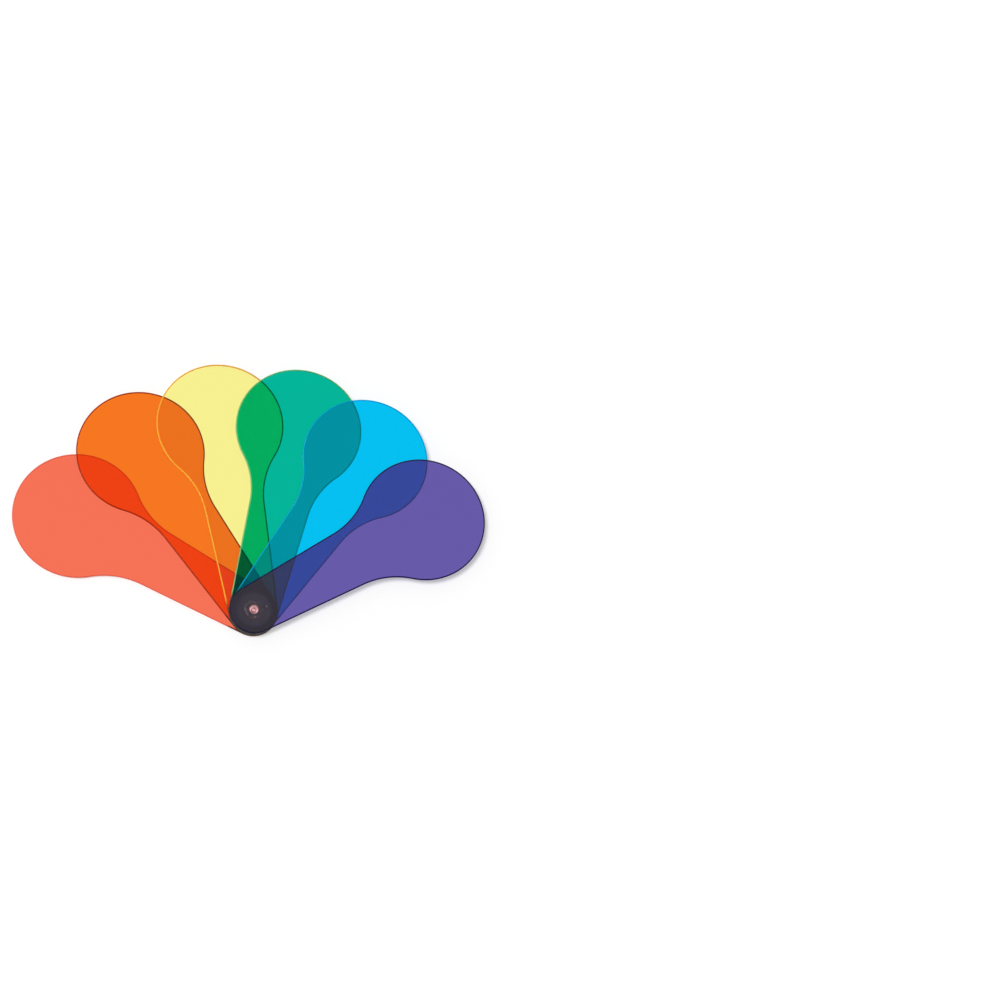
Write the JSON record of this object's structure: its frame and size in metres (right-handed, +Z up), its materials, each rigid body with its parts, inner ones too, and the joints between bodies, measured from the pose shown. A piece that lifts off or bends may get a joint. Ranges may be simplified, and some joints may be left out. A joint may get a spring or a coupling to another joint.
{
  "type": "color paddle",
  "caption": "Fan of clear coloured acrylic paddles with round heads and tapering handles, stacked and turning on one clear snap rivet, for looking through and mixing colours.",
  "frame": {"origin": "on the rivet's axis, in the plane of the lower flange's underside that stands on the table", "axes": "+Z up along the rivet, from the red paddle to the purple one; +X along the open fan's longest side, towards the purple paddle; +Y from the rivet into the open fan"},
  "size_m": [0.2516, 0.1514, 0.0085],
  "materials": {
    "red_acrylic": "clear tinted, polished",
    "orange_acrylic": "clear tinted, polished",
    "yellow_acrylic": "clear tinted, polished",
    "green_acrylic": "clear tinted, polished",
    "blue_acrylic": "clear tinted, polished",
    "purple_acrylic": "clear tinted, polished",
    "clear_plastic": "clear, moulded"
  },
  "bodies": {
    "rivet": {"rivet_barrel": "clear_plastic", "rivet_pin": "clear_plastic"},
    "red": {"red_paddle": "red_acrylic"},
    "orange": {"orange_paddle": "orange_acrylic"},
    "yellow": {"yellow_paddle": "yellow_acrylic"},
    "green": {"green_paddle": "green_acrylic"},
    "blue": {"blue_paddle": "blue_acrylic"},
    "purple": {"purple_paddle": "purple_acrylic"}
  },
  "joints": [
    {"name": "red_turn", "type": "hinge", "parent": "rivet", "child": "red", "pos_m": [0, 0, 0.0015], "axis": [0, 0, 1], "continuous": true},
    {"name": "orange_turn", "type": "hinge", "parent": "rivet", "child": "orange", "pos_m": [0, 0, 0.0026], "axis": [0, 0, 1], "continuous": true},
    {"name": "yellow_turn", "type": "hinge", "parent": "rivet", "child": "yellow", "pos_m": [0, 0, 0.0037], "axis": [0, 0, 1], "continuous": true},
    {"name": "green_turn", "type": "hinge", "parent": "rivet", "child": "green", "pos_m": [0, 0, 0.0048], "axis": [0, 0, 1], "continuous": true},
    {"name": "blue_turn", "type": "hinge", "parent": "rivet", "child": "blue", "pos_m": [0, 0, 0.0059], "axis": [0, 0, 1], "continuous": true},
    {"name": "purple_turn", "type": "hinge", "parent": "rivet", "child": "purple", "pos_m": [0, 0, 0.007], "axis": [0, 0, 1], "continuous": true}
  ]
}
